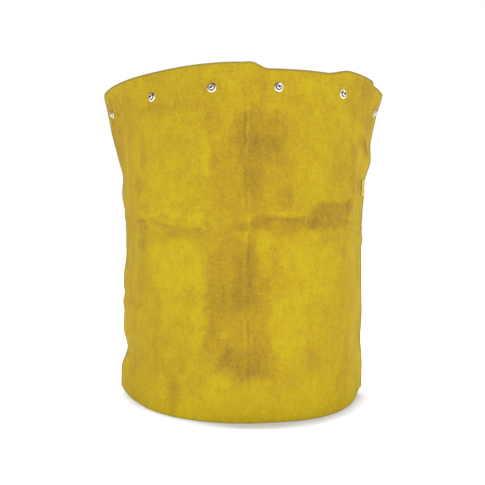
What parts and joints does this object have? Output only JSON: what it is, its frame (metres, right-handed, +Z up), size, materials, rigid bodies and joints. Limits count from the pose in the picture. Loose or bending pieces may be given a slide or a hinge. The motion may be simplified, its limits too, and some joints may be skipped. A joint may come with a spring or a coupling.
{
  "type": "welding bib",
  "caption": "Rectangular suede leather welding bib with snap studs along its top edge and a small sewn side label, standing in a bow on its foot edge.",
  "frame": {"origin": "on the floor, below the middle of the whole bib's box", "axes": "+Z up; the bib's front face looks towards -Y and its hollow side opens towards +Y; +X is to the right seen from the front"},
  "size_m": [0.48, 0.1946, 0.5082],
  "materials": {
    "leather": "suede split, golden yellow, napped on both sides",
    "nickel": "bright nickel plate on pressed brass",
    "label": "pale split leather patch, blank",
    "thread": "spun aramid sewing thread, pale yellow"
  },
  "bodies": {
    "root": {"bib_panel": "leather", "snap_stud_1": "nickel", "snap_stud_2": "nickel", "snap_stud_3": "nickel", "snap_stud_4": "nickel", "snap_stud_5": "nickel", "snap_stud_6": "nickel", "snap_eyelet_1": "nickel", "snap_eyelet_2": "nickel", "snap_eyelet_3": "nickel", "snap_eyelet_4": "nickel", "snap_eyelet_5": "nickel", "snap_eyelet_6": "nickel", "side_label": "label", "label_needle_thread": "thread", "label_bobbin_thread": "thread"}
  },
  "joints": []
}
